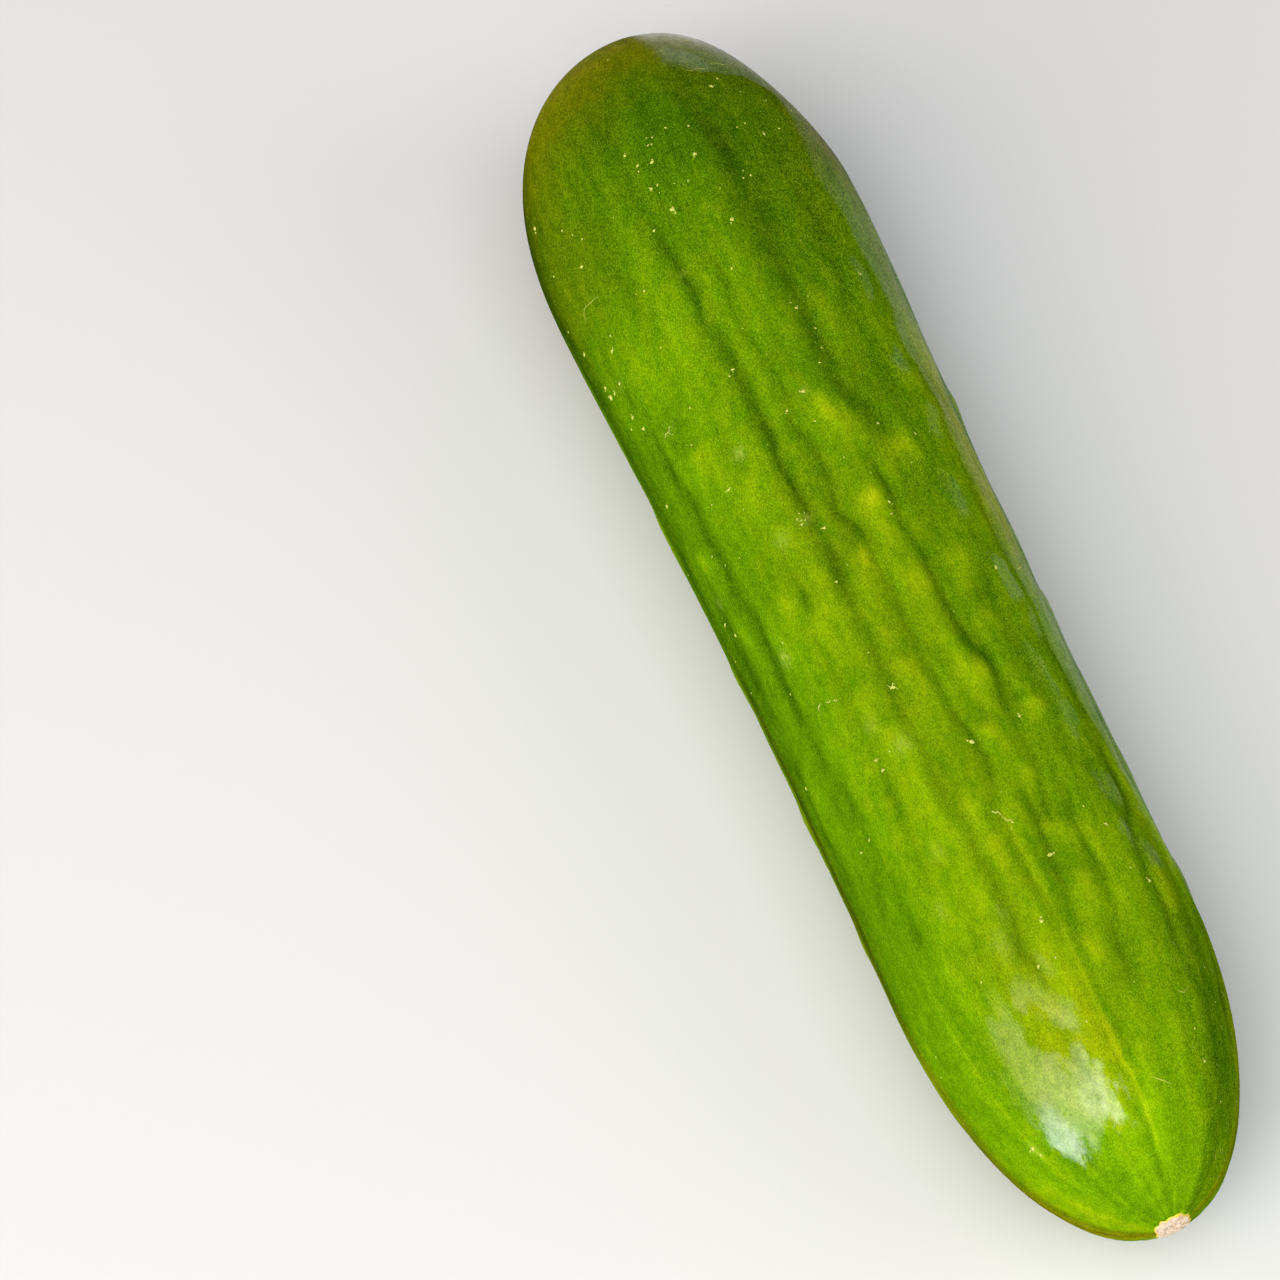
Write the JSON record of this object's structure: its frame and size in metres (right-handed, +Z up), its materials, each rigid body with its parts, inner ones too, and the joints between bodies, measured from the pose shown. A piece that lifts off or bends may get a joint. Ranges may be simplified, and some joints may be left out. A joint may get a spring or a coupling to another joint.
{
  "type": "cucumber",
  "caption": "Small smooth-skinned cucumber, whole, as picked, lying on its belly: a blunt stem end, a tapered blossom end, and low lengthwise furrows.",
  "frame": {"origin": "on the surface the cucumber lies on, under the middle of its box", "axes": "+X along the cucumber from the stem end to the blossom end, +Z up from the belly to the back"},
  "size_m": [0.1778, 0.042, 0.0418],
  "materials": {
    "skin": "waxy, semi-gloss green skin, olive at the stem end and yellow-green towards the blossom end"
  },
  "bodies": {
    "root": {"cucumber": "skin"}
  },
  "joints": []
}
